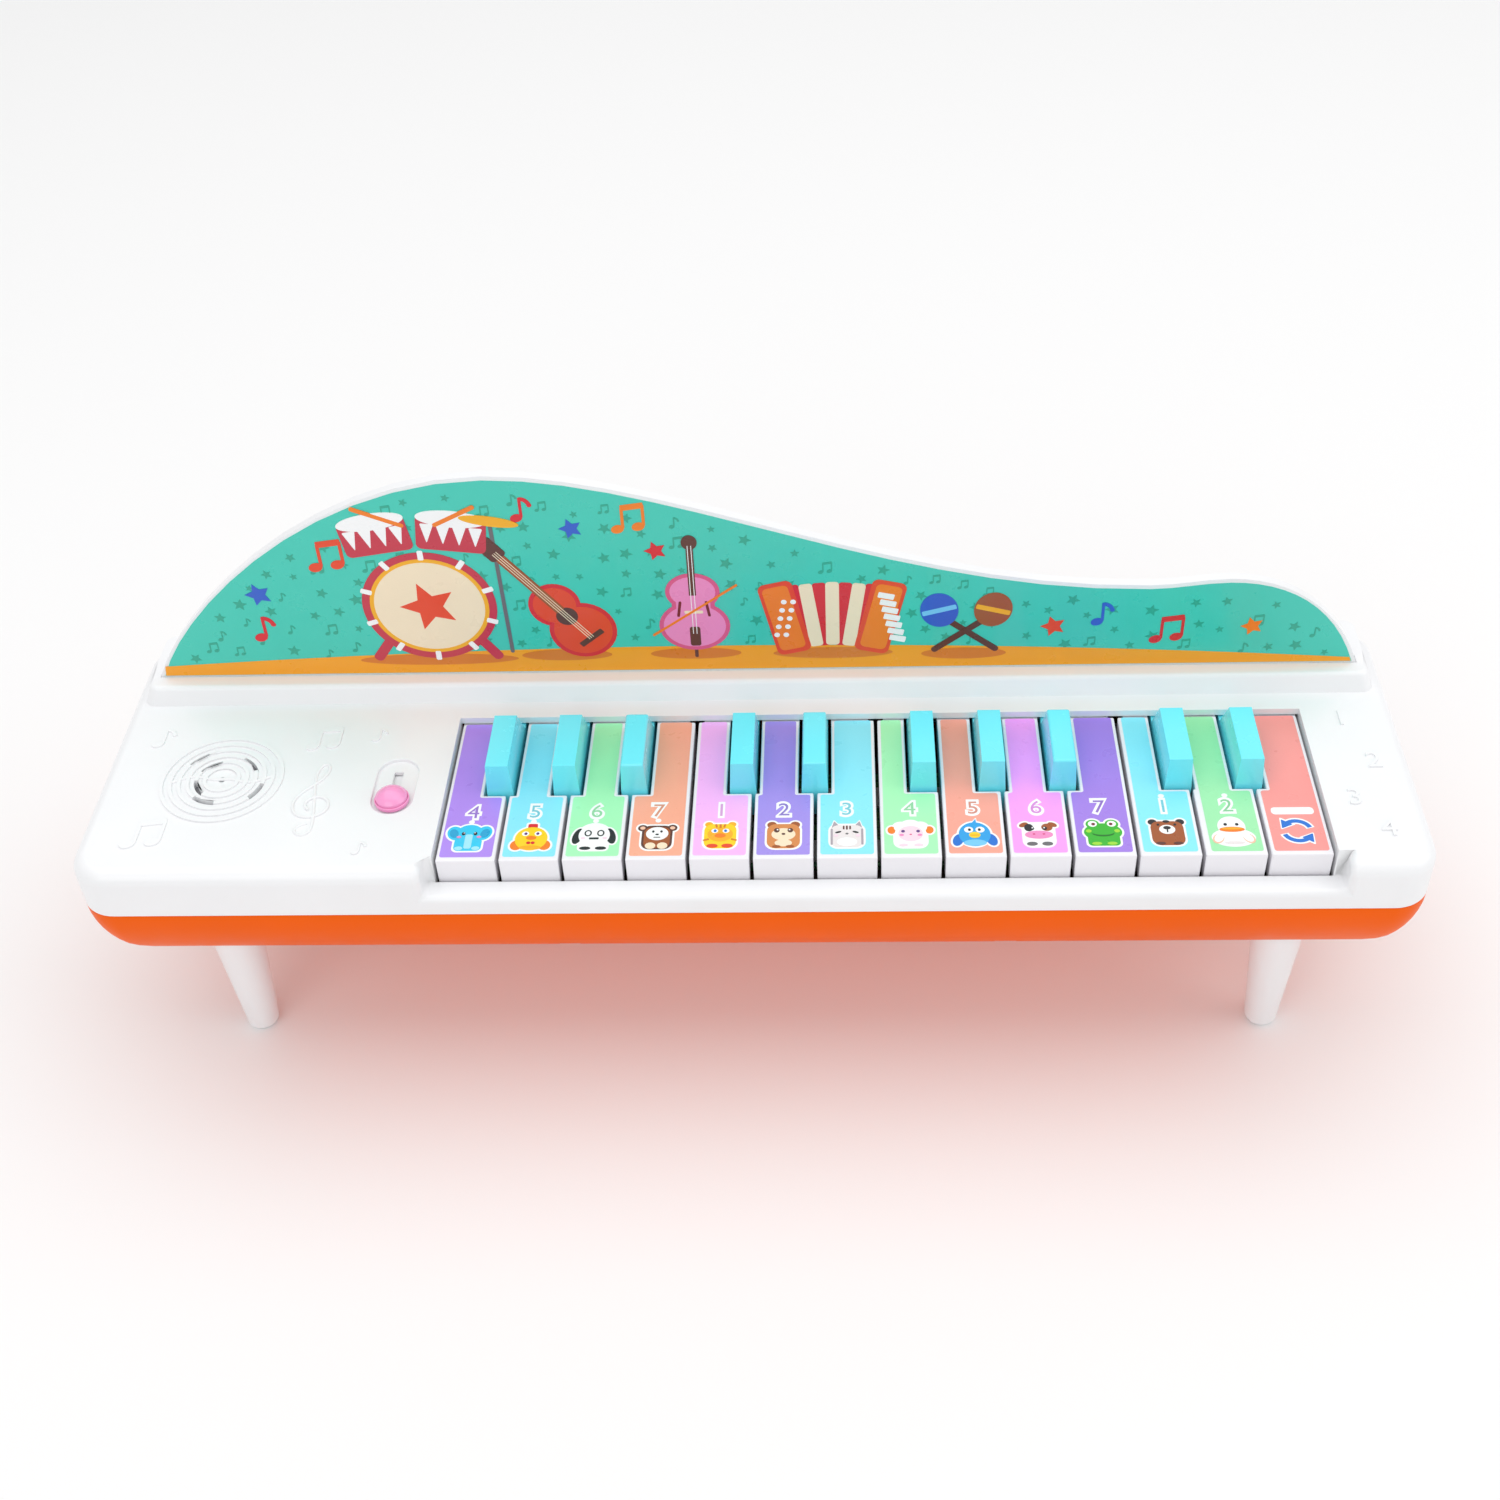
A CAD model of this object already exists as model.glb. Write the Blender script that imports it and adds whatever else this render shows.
import math
import random

import bmesh
import bpy
from mathutils import Matrix, Vector


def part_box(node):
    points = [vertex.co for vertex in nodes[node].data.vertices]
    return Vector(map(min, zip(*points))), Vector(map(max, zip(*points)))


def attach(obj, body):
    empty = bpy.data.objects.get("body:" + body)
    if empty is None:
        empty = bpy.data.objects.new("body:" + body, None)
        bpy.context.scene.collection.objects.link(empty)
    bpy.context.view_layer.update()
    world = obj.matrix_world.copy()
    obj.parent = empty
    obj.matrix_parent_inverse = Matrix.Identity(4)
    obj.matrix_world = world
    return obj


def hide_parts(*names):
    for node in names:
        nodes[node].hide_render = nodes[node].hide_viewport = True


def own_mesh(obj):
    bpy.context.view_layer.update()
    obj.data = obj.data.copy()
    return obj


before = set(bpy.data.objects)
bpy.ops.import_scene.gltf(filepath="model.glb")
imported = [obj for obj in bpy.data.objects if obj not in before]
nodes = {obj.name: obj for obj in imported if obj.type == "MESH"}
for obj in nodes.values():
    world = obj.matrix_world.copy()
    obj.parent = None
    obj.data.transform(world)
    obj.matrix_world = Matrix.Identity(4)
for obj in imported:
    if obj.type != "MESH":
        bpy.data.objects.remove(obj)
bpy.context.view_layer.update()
mm = 0.001
upright = Matrix.Rotation(math.radians(90), 4, "X")  # a flat drawing stood up, facing the front
random.seed(12)
print("frame loaded:", len(nodes), "nodes")


def cornersOf(node):
    low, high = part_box(node)
    return low / mm, high / mm


def tint(red, green, blue):
    # 0-255 screen values to linear light
    shares = [v / 255 for v in (red, green, blue)]
    return tuple(v / 12.92 if v <= 0.04045 else ((v + 0.055) / 1.055) ** 2.4 for v in shares) + (1.0,)


whiteNames = [f"white_key_{n:02d}" for n in range(1, 15)]
sharpNames = [f"sharp_key_{n:02d}" for n in range(1, 11)]
caseLow, caseHigh = cornersOf("top_shell")
firstLow, firstHigh = cornersOf(whiteNames[0])
lastLow, lastHigh = cornersOf(whiteNames[-1])
sharpLow, sharpHigh = cornersOf(sharpNames[0])
boardLow, boardHigh = cornersOf("backboard")
printLow, printHigh = cornersOf("board_print")
rimZ = 66.0  # where the tray meets the deck
keyTop = firstHigh.z
deckTop = keyTop + 2
roofZ = keyTop  # underside of the deck
well = {
    "left": firstLow.x - 0.7,
    "right": lastHigh.x + 0.7,
    "front": -43.3,
    "back": 12.7,
    "lip": 72.0,
    "over": 2.6,
}

# ---------- camera, lights and floor

camera = {
    "place": (26.7, -399.1, 436.0),  # mm
    "down": 41.75,  # degrees
    "left": -3.74,
    "roll": -3.10,
    "lens": 46.08,
}


def aimCamera():
    down, left, roll = (math.radians(camera[k]) for k in ("down", "left", "roll"))
    ahead = Vector((math.sin(left) * math.cos(down), math.cos(left) * math.cos(down), -math.sin(down)))
    side = Vector((math.cos(left), -math.sin(left), 0))
    up = side.cross(ahead)
    right = side * math.cos(roll) + up * math.sin(roll)
    top = up * math.cos(roll) - side * math.sin(roll)
    data = bpy.data.cameras.new("camera")
    data.lens = camera["lens"]
    data.clip_start = 0.01
    obj = bpy.data.objects.new("camera", data)
    turn = Matrix((right, top, -ahead)).transposed().to_4x4()
    obj.matrix_world = Matrix.Translation(Vector(camera["place"]) * mm) @ turn
    bpy.context.scene.collection.objects.link(obj)
    bpy.context.scene.camera = obj


studio = {
    "sky": 0.63,
    "top": {"place": (0.0, 0.3, 1.6), "size": (2.6, 2.0), "power": 14.5},
    "front": {"place": (-0.5, -1.5, 1.2), "size": (1.6, 1.2), "power": 6.5},
    "side": {"place": (1.5, -0.2, 0.9), "size": (1.2, 1.2), "power": 4},
    "floor": 0.92,
}


def addLight(name, spec):
    data = bpy.data.lights.new(name, "AREA")
    data.shape = "RECTANGLE"
    data.size, data.size_y = spec["size"]
    data.energy = spec["power"]
    obj = bpy.data.objects.new(name, data)
    obj.location = spec["place"]
    obj.rotation_euler = (Vector((0, 0, 0.05)) - obj.location).to_track_quat("-Z", "Y").to_euler()
    bpy.context.scene.collection.objects.link(obj)


def makeStudio():
    for name in ("top", "front", "side"):
        addLight(name + "Light", studio[name])
    sky = bpy.data.worlds.new("sky")
    sky.use_nodes = True
    sky.node_tree.nodes["Background"].inputs["Color"].default_value = (1, 1, 1, 1)
    sky.node_tree.nodes["Background"].inputs["Strength"].default_value = studio["sky"]
    bpy.context.scene.world = sky
    bpy.context.scene.view_settings.view_transform = "Standard"
    bm = bmesh.new()
    bmesh.ops.create_grid(bm, x_segments=1, y_segments=1, size=4)
    mesh = bpy.data.meshes.new("floor")
    bm.to_mesh(mesh)
    bm.free()
    floor = bpy.data.objects.new("floor", mesh)
    bpy.context.scene.collection.objects.link(floor)
    paper = bpy.data.materials.new("floorPaper")
    paper.use_nodes = True
    shader = paper.node_tree.nodes["Principled BSDF"]
    shader.inputs["Base Color"].default_value = (studio["floor"],) * 3 + (1,)
    shader.inputs["Roughness"].default_value = 0.6
    mesh.materials.append(paper)


aimCamera()
makeStudio()
print("camera and studio set")

# ---------- materials


def shaderOf(name):
    mat = bpy.data.materials.new(name)
    mat.use_nodes = True
    return mat, mat.node_tree, mat.node_tree.nodes["Principled BSDF"]


def objectPoint(tree, centre=(0, 0, 0), scale=(1, 1, 1)):
    # object coordinates, moved to a centre given in mm
    coords = tree.nodes.new("ShaderNodeTexCoord")
    mapping = tree.nodes.new("ShaderNodeMapping")
    mapping.inputs["Location"].default_value = [-c * mm * s for c, s in zip(centre, scale)]
    mapping.inputs["Scale"].default_value = scale
    tree.links.new(coords.outputs["Object"], mapping.inputs["Vector"])
    return mapping.outputs["Vector"]


def noiseOf(tree, point, size, detail=2.0):
    # size is the width of one blotch in mm
    noise = tree.nodes.new("ShaderNodeTexNoise")
    noise.inputs["Scale"].default_value = 1 / (size * mm)
    noise.inputs["Detail"].default_value = detail
    tree.links.new(point, noise.inputs["Vector"])
    return noise.outputs["Fac"]


def rangeOf(tree, value, low, high, fromLow=0.3, fromHigh=0.7):
    span = tree.nodes.new("ShaderNodeMapRange")
    span.inputs["From Min"].default_value = fromLow
    span.inputs["From Max"].default_value = fromHigh
    span.inputs["To Min"].default_value = low
    span.inputs["To Max"].default_value = high
    tree.links.new(value, span.inputs["Value"])
    return span.outputs["Result"]


def blendOf(tree, factor, first, second, kind="MIX"):
    # first and second are colours or sockets
    mix = tree.nodes.new("ShaderNodeMix")
    mix.data_type = "RGBA"
    mix.blend_type = kind
    if isinstance(factor, float):
        mix.inputs["Factor"].default_value = factor
    else:
        tree.links.new(factor, mix.inputs["Factor"])
    for socket, value in ((mix.inputs[6], first), (mix.inputs[7], second)):
        if isinstance(value, tuple):
            socket.default_value = value
        else:
            tree.links.new(value, socket)
    return mix.outputs[2]


def bumpOf(tree, shader, height, depth, strength=0.5):
    # depth in mm
    bump = tree.nodes.new("ShaderNodeBump")
    bump.inputs["Strength"].default_value = strength
    bump.inputs["Distance"].default_value = depth * mm
    tree.links.new(height, bump.inputs["Height"])
    tree.links.new(bump.outputs["Normal"], shader.inputs["Normal"])


def shadeOf(colour, factor):
    return tuple(min(1.0, c * factor) for c in colour[:3]) + (1.0,)


def moulded(name, look):
    # plastic, rubber or metal: cloudy colour, uneven gloss and a fine skin
    mat, tree, shader = shaderOf(name)
    point = objectPoint(tree)
    cloud = rangeOf(tree, noiseOf(tree, point, look.get("patch", 26)), 0.0, 1.0)
    spread = look.get("spread", 0.03)
    colour = blendOf(tree, cloud, shadeOf(look["colour"], 1 - spread), shadeOf(look["colour"], 1 + spread))
    tree.links.new(colour, shader.inputs["Base Color"])
    gloss = noiseOf(tree, point, look.get("smear", 7), 4.0)
    rough = look["rough"]
    tree.links.new(rangeOf(tree, gloss, rough * 0.94, rough * 1.08), shader.inputs["Roughness"])
    bumpOf(tree, shader, noiseOf(tree, point, look.get("grain", 0.5), 3.0), look.get("depth", 0.004))
    shader.inputs["Metallic"].default_value = look.get("metal", 0.0)
    shader.inputs["Coat Weight"].default_value = look.get("coat", 0.0)
    shader.inputs["Coat Roughness"].default_value = 0.12
    shader.inputs["Specular IOR Level"].default_value = look.get("specular", 0.5)
    if "soft" in look:
        shader.inputs["Subsurface Weight"].default_value = look["soft"]
        shader.inputs["Subsurface Radius"].default_value = (0.0016, 0.0013, 0.0012)
        shader.inputs["Subsurface Scale"].default_value = 1.0
    return mat


looks = {
    "caseWhite": {"colour": (0.90, 0.905, 0.92, 1), "rough": 0.30, "coat": 0.25, "spread": 0.012},
    "trayOrange": {"colour": tint(246, 98, 0), "rough": 0.4, "specular": 0.08, "spread": 0.02, "patch": 40},
    "keyWhite": {"colour": (0.90, 0.885, 0.925, 1), "rough": 0.24, "coat": 0.3, "spread": 0.012},
    "sharpBlue": {"colour": tint(118, 240, 255), "rough": 0.26, "coat": 0.2, "spread": 0.012, "patch": 14},
    "knobPink": {"colour": tint(255, 160, 212), "rough": 0.14, "coat": 0.6, "spread": 0.03, "patch": 4},
    "platedSteel": {"colour": (0.60, 0.60, 0.62, 1), "rough": 0.28, "metal": 1.0, "smear": 2, "spread": 0.08},
    "darkPlastic": {"colour": tint(58, 14, 16), "rough": 0.5, "spread": 0.1},
    "blackPlastic": {"colour": (0.018, 0.018, 0.02, 1), "rough": 0.42, "spread": 0.15},
    "siliconeRubber": {"colour": (0.80, 0.79, 0.76, 1), "rough": 0.55, "soft": 0.2, "grain": 0.25},
    "dustCloth": {"colour": tint(150, 150, 154), "rough": 0.9, "grain": 0.2, "depth": 0.05, "spread": 0.06},
    "basketPaint": {"colour": (0.06, 0.06, 0.065, 1), "rough": 0.45, "spread": 0.12},
    "ferrite": {"colour": (0.09, 0.09, 0.10, 1), "rough": 0.62, "grain": 0.3, "depth": 0.05, "spread": 0.2},
    "redSleeve": {"colour": tint(200, 24, 28), "rough": 0.45, "spread": 0.06},
    "blackSleeve": {"colour": (0.015, 0.015, 0.016, 1), "rough": 0.45, "spread": 0.15},
}


def printedFilm():
    # ink colour from the piece's own attribute, under a thin clear film
    mat, tree, shader = shaderOf("printedFilm")
    ink = tree.nodes.new("ShaderNodeAttribute")
    ink.attribute_name = "printColour"
    point = objectPoint(tree)
    cloud = rangeOf(tree, noiseOf(tree, point, 9), 0.0, 1.0)
    mottle = blendOf(tree, cloud, (0.98, 0.98, 0.98, 1), (1.0, 1.0, 1.0, 1))
    dots = rangeOf(tree, noiseOf(tree, point, 0.22, 1.0), 0.0, 1.0, 0.42, 0.58)
    screen = blendOf(tree, dots, (0.985, 0.985, 0.985, 1), (1.0, 1.0, 1.0, 1))
    colour = blendOf(tree, 1.0, ink.outputs["Color"], mottle, "MULTIPLY")
    tree.links.new(blendOf(tree, 1.0, colour, screen, "MULTIPLY"), shader.inputs["Base Color"])
    tree.links.new(rangeOf(tree, noiseOf(tree, point, 5, 3.0), 0.26, 0.36), shader.inputs["Roughness"])
    shader.inputs["Coat Weight"].default_value = 0.15
    bumpOf(tree, shader, noiseOf(tree, point, 0.35, 2.0), 0.003)
    return mat


def solderMask():
    # green board: copper tracks under the lacquer and tinned pads
    mat, tree, shader = shaderOf("solderMask")
    point = objectPoint(tree)
    tracks = tree.nodes.new("ShaderNodeTexBrick")
    tracks.inputs["Scale"].default_value = 160
    tracks.inputs["Mortar Size"].default_value = 0.06
    tracks.inputs["Color1"].default_value = tint(16, 96, 52)
    tracks.inputs["Color2"].default_value = tint(20, 108, 58)
    tracks.inputs["Mortar"].default_value = tint(70, 150, 84)
    tree.links.new(point, tracks.inputs["Vector"])
    pads = tree.nodes.new("ShaderNodeTexVoronoi")
    pads.inputs["Scale"].default_value = 190
    pads.inputs["Randomness"].default_value = 0.7
    tree.links.new(point, pads.inputs["Vector"])
    isPad = rangeOf(tree, pads.outputs["Distance"], 1.0, 0.0, 0.12, 0.16)
    colour = blendOf(tree, isPad, tracks.outputs["Color"], (0.62, 0.60, 0.55, 1))
    tree.links.new(colour, shader.inputs["Base Color"])
    tree.links.new(rangeOf(tree, isPad, 0.34, 0.24, 0, 1), shader.inputs["Roughness"])
    bumpOf(tree, shader, tracks.outputs["Fac"], 0.03)
    return mat


def paperCone(centre):
    # pressed paper with rings about the speaker's middle
    mat, tree, shader = shaderOf("paperCone")
    point = objectPoint(tree, centre)
    rings = tree.nodes.new("ShaderNodeTexWave")
    rings.wave_type = "RINGS"
    rings.rings_direction = "Z"
    rings.inputs["Scale"].default_value = 200
    rings.inputs["Distortion"].default_value = 0.0
    tree.links.new(point, rings.inputs["Vector"])
    fibre = noiseOf(tree, point, 0.8, 5.0)
    tree.links.new(blendOf(tree, fibre, tint(28, 28, 30), tint(52, 51, 50)), shader.inputs["Base Color"])
    shader.inputs["Roughness"].default_value = 0.85
    bumpOf(tree, shader, rings.outputs["Fac"], 0.15)
    return mat


def cellJacket():
    # printed can: a copper-coloured band at one end of a black sleeve
    mat, tree, shader = shaderOf("cellJacket")
    point = objectPoint(tree)
    split = tree.nodes.new("ShaderNodeSeparateXYZ")
    tree.links.new(point, split.inputs["Vector"])
    band = rangeOf(tree, split.outputs["Y"], 0.0, 1.0, 0.0098, 0.0102)
    scuff = rangeOf(tree, noiseOf(tree, point, 3, 5.0), 0.0, 0.25, 0.45, 0.75)
    printed = blendOf(tree, band, tint(34, 34, 38), tint(196, 128, 62))
    tree.links.new(blendOf(tree, scuff, printed, (0.55, 0.55, 0.55, 1)), shader.inputs["Base Color"])
    tree.links.new(rangeOf(tree, noiseOf(tree, point, 6, 3.0), 0.22, 0.34), shader.inputs["Roughness"])
    shader.inputs["Metallic"].default_value = 0.7
    bumpOf(tree, shader, noiseOf(tree, point, 1.2, 2.0), 0.01)
    return mat


def ribbonStripes():
    # flat cable: one groove between each pair of wires
    mat, tree, shader = shaderOf("ribbonStripes")
    point = objectPoint(tree)
    wires = tree.nodes.new("ShaderNodeTexWave")
    wires.bands_direction = "Y"
    wires.inputs["Scale"].default_value = 250
    tree.links.new(point, wires.inputs["Vector"])
    tree.links.new(blendOf(tree, wires.outputs["Fac"], tint(150, 152, 156), tint(196, 197, 200)),
                   shader.inputs["Base Color"])
    shader.inputs["Roughness"].default_value = 0.5
    bumpOf(tree, shader, wires.outputs["Fac"], 0.2)
    return mat


finishes = {name: moulded(name, look) for name, look in looks.items()}
speakerLow, speakerHigh = cornersOf("speaker_cone")
finishes["printedFilm"] = printedFilm()
finishes["solderMask"] = solderMask()
finishes["paperCone"] = paperCone((speakerLow + speakerHigh) / 2)
finishes["cellJacket"] = cellJacket()
finishes["ribbonStripes"] = ribbonStripes()

innerFinish = {
    "key_pivot_rod": "platedSteel", "key_bed": "darkPlastic", "key_contact_board": "solderMask",
    "main_board": "solderMask", "sound_chip": "blackPlastic", "slide_switch_body": "platedSteel",
    "speaker_basket": "basketPaint", "speaker_magnet": "ferrite", "speaker_cone": "paperCone",
    "cell_1": "cellJacket", "cell_2": "cellJacket", "cell_3": "cellJacket", "cell_springs": "platedSteel",
    "cell_plates": "platedSteel", "bed_screws": "platedSteel", "contact_board_screws": "platedSteel",
    "main_board_screws": "platedSteel", "speaker_screws": "platedSteel", "speaker_wires": "redSleeve",
    "cell_wires": "blackSleeve", "key_ribbon": "ribbonStripes",
}
for node, finish in innerFinish.items():
    nodes[node].data.materials.clear()
    nodes[node].data.materials.append(finishes[finish])
print("materials made:", len(finishes))

# ---------- shaping helpers


def cadCopy(node):
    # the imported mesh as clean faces, to be rounded and smoothed
    bm = bmesh.new()
    bm.from_mesh(nodes[node].data)
    bmesh.ops.remove_doubles(bm, verts=bm.verts, dist=2e-6)
    bmesh.ops.dissolve_limit(bm, angle_limit=math.radians(0.5), verts=bm.verts, edges=bm.edges,
                             use_dissolve_boundaries=False)
    return bm


def roundEdges(bm, low, high, width, segments=3, touch=False, angle=30):
    # bevels the sharp edges that lie in a box given in mm, or that only reach into it
    def inside(vert):
        return all(low[k] * mm - 2e-5 <= vert.co[k] <= high[k] * mm + 2e-5 for k in range(3))

    need = any if touch else all
    picked = [e for e in bm.edges if len(e.link_faces) == 2 and need(inside(v) for v in e.verts)
              and e.calc_face_angle(0) > math.radians(angle)]
    if picked:
        bmesh.ops.bevel(bm, geom=picked, offset=width * mm, offset_type="OFFSET", segments=segments,
                        profile=0.5, affect="EDGES", clamp_overlap=True, material=-1)
    return len(picked)


def addPiece(name, bm, body, finish, stands=(), sharp=34, smooth=True):
    mesh = bpy.data.meshes.new(name)
    for face in bm.faces:
        face.smooth = smooth
    bm.to_mesh(mesh)
    bm.free()
    piece = bpy.data.objects.new(name, mesh)
    bpy.context.scene.collection.objects.link(piece)
    mesh.materials.append(finishes[finish])
    if smooth:
        mesh.set_sharp_from_angle(angle=math.radians(sharp))
        even = piece.modifiers.new("evenShading", "WEIGHTED_NORMAL")
        even.keep_sharp = True
    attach(piece, body)
    if stands:
        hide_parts(*stands)
    return piece


def pourInto(bm, shape):
    # adds a finished shape to a piece that is being built
    scrap = bpy.data.meshes.new("scrap")
    shape.to_mesh(scrap)
    shape.free()
    bm.from_mesh(scrap)
    bpy.data.meshes.remove(scrap)


def spunProfile(bm, points, centre, steps=64):
    # a closed turned form: points are (radius, height) in mm, from the axis back to the axis
    verts = [bm.verts.new((centre[0] * mm + r * mm, centre[1] * mm, z * mm)) for r, z in points]
    edges = [bm.edges.new(pair) for pair in zip(verts, verts[1:])]
    bmesh.ops.spin(bm, geom=verts + edges, cent=Vector((centre[0], centre[1], 0)) * mm, axis=(0, 0, 1),
                   angle=2 * math.pi, steps=steps, use_merge=True, use_duplicate=False)
    bmesh.ops.remove_doubles(bm, verts=bm.verts, dist=1e-6)
    bmesh.ops.recalc_face_normals(bm, faces=bm.faces)


def arcPoints(centre, radius, start, end, count):
    # a rounded corner of a profile, angles in degrees
    turns = [math.radians(start + (end - start) * k / count) for k in range(count + 1)]
    return [(centre[0] + radius * math.cos(t), centre[1] + radius * math.sin(t)) for t in turns]


# ---------- case

caseLook = {
    "lip": {"width": 1.9, "segments": 6},
    "wellRim": {"width": 0.6, "segments": 3},
    "ledge": {"width": 1.1, "segments": 4},
    "groove": {"width": 0.25, "segments": 2},
    "recess": {"width": 0.3, "segments": 3},
    "rings": {"width": 0.22, "segments": 2},
    "seam": {"width": 0.3, "segments": 2},
    "trayFoot": {"width": 1.6, "segments": 5},
    "doorGap": {"width": 0.25, "segments": 2},
}


def rounded(bm, low, high, kind, **extra):
    count = roundEdges(bm, low, high, caseLook[kind]["width"], caseLook[kind]["segments"], **extra)
    print("  rounded", kind, count)


def splitGrille(bm):
    # cuts the ring-shaped faces about the speaker into plain sectors
    middle = (speakerLow + speakerHigh) / 2
    for turn in (8, 53, 98, 143):
        across = Vector((math.cos(math.radians(turn)), math.sin(math.radians(turn)), 0))
        near = [f for f in bm.faces if abs(f.normal.z) > 0.99 and len(f.verts) > 4
                and all((v.co / mm - middle).xy.length < 19 and v.co.z / mm > roofZ + 0.5 for v in f.verts)]
        around = list({v for f in near for v in f.verts}) + list({e for f in near for e in f.edges}) + near
        bmesh.ops.bisect_plane(bm, geom=around, dist=1e-7, plane_co=middle * mm, plane_no=across)


def makeCaseTop():
    bm = cadCopy("top_shell")
    splitGrille(bm)
    left, right, front, back, lip, over = (well[k] for k in ("left", "right", "front", "back", "lip", "over"))
    # front edge of the lip with the round ends of its notch
    ends = []
    for e in bm.edges:
        if len(e.link_faces) != 2 or e.calc_face_angle(0) < math.radians(30):
            continue
        points = [v.co / mm for v in e.verts]
        onLip = all(abs(p.y - caseLow.y) < 0.02 and abs(p.z - lip) < 0.02 for p in points)
        onEnd = any(all(abs(p.x - x) < 0.02 and p.z > lip - 0.02 and p.y < front + 0.02 for p in points)
                    for x in (left - over, right + over))
        if onLip or onEnd:
            ends.append(e)
    bmesh.ops.bevel(bm, geom=ends, offset=caseLook["lip"]["width"] * mm, offset_type="OFFSET",
                    segments=caseLook["lip"]["segments"], profile=0.5, affect="EDGES",
                    clamp_overlap=True, material=-1)
    print("  lip edges", len(ends))
    rounded(bm, (left - 0.1, front + 0.2, deckTop - 0.1), (right + 0.1, back + 0.1, deckTop + 0.1), "wellRim")
    rounded(bm, (left, front - 0.1, lip - 0.1), (right, front + 0.1, lip + 0.1), "wellRim")
    for low, high in ((left - over, left), (right, right + over)):
        rounded(bm, (low - 0.1, front - 0.1, deckTop - 0.1),
                (high + 0.1, front + 0.1, deckTop + 0.1), "wellRim")
    ledgeFront = boardLow.y - 7.6
    rounded(bm, (caseLow.x, ledgeFront, deckTop + 0.3), (caseHigh.x, boardLow.y - 1, caseHigh.z), "ledge")
    rounded(bm, (caseLow.x, boardHigh.y + 1, deckTop + 0.3), (caseHigh.x, caseHigh.y, caseHigh.z), "ledge")
    rounded(bm, (boardLow.x - 1, boardLow.y - 0.5, caseHigh.z - 0.1),
            (boardHigh.x + 1, boardHigh.y + 0.5, caseHigh.z), "groove")
    knobLow, knobHigh = cornersOf("switch_knob")
    rounded(bm, (knobLow.x - 2, knobLow.y - 2, deckTop - 0.1),
            (knobHigh.x + 2, knobHigh.y + 12, deckTop + 0.1), "recess")
    coneMid = (speakerLow + speakerHigh) / 2
    rounded(bm, (coneMid.x - 18, coneMid.y - 18, deckTop + 0.4),
            (coneMid.x + 18, coneMid.y + 18, deckTop + 0.6), "rings")
    rounded(bm, (caseLow.x, caseLow.y, rimZ - 0.05), (caseHigh.x, caseHigh.y, rimZ + 0.05), "seam")
    addPiece("caseTop", bm, "case", "caseWhite", ["top_shell"])


def makeCaseTray():
    bm = cadCopy("bottom_shell")
    low, high = cornersOf("bottom_shell")
    doorLow, doorHigh = cornersOf("battery_door")
    rounded(bm, (low.x, low.y, rimZ - 0.05), (high.x, high.y, rimZ + 0.05), "seam")
    # outer edge of the floor, leaving the door opening and the screw wells for a finer edge
    edge = []
    for e in bm.edges:
        if len(e.link_faces) == 2 and e.calc_face_angle(0) > math.radians(30):
            points = [v.co / mm for v in e.verts]
            flat = all(abs(p.z - low.z) < 0.02 for p in points)
            outer = all(abs(p.x) > high.x - 14 or abs(p.y) > high.y - 9.7 for p in points)
            alongFront = abs(points[0].y - points[1].y) < 0.01 or abs(points[0].x) > high.x - 40
            span = abs(points[0].x - points[1].x) + abs(points[0].y - points[1].y)
            if flat and outer and alongFront and span > 0.3:
                edge.append(e)
    bmesh.ops.bevel(bm, geom=edge, offset=caseLook["trayFoot"]["width"] * mm, offset_type="OFFSET",
                    segments=caseLook["trayFoot"]["segments"], profile=0.5, affect="EDGES",
                    clamp_overlap=True, material=-1)
    print("  tray foot edges", len(edge))
    rounded(bm, (doorLow.x - 1, doorLow.y - 1, low.z - 0.1), (doorHigh.x + 1, doorHigh.y + 1, low.z + 0.1),
            "doorGap")
    addPiece("caseTray", bm, "case", "trayOrange", ["bottom_shell"])


def makeDoor():
    bm = cadCopy("battery_door")
    low, high = cornersOf("battery_door")
    roundEdges(bm, (low.x, low.y, low.z), (high.x, high.y, low.z), 0.3, 3)
    addPiece("doorPanel", bm, "battery_door", "trayOrange", ["battery_door"])


boardLook = {"edge": 0.7, "segments": 4}


def makeBoard():
    bm = cadCopy("backboard")
    roundEdges(bm, (boardLow.x, boardLow.y, caseHigh.z + 0.05), boardHigh, boardLook["edge"],
               boardLook["segments"], touch=True)
    addPiece("boardPanel", bm, "case", "caseWhite", ["backboard"])


# ---------- legs, knob and screws

legLook = {"tipRound": 2.0, "chamfer": 0.4, "steps": 72}


def makeLegs():
    for node in ("leg_front_left", "leg_front_right", "leg_rear_left", "leg_rear_right"):
        low, high = cornersOf(node)
        middle = (low + high) / 2
        top, tip, peg, pegHeight = (high.x - low.x) / 2, 4.6, 4.0, 9.0
        shoulder = high.z - pegHeight
        r = legLook["tipRound"]
        c = legLook["chamfer"]
        foot = [(0, low.z)] + arcPoints((tip - r, low.z + r), r, -90, -3, 8)
        head = [(top - 0.05, shoulder - c * 2)] + arcPoints((top - 0.15 - c, shoulder - c), c, 0, 90, 4)
        stem = [(peg, shoulder), (peg, high.z - c)] + [(peg - c, high.z), (0, high.z)]
        bm = bmesh.new()
        spunProfile(bm, foot + head + stem, middle, legLook["steps"])
        addPiece("peg_" + node, bm, "case", "caseWhite", [node])


knobLook = {"rim": 1.2, "dome": 3.0, "edge": 0.3, "groove": 0.25}


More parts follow.
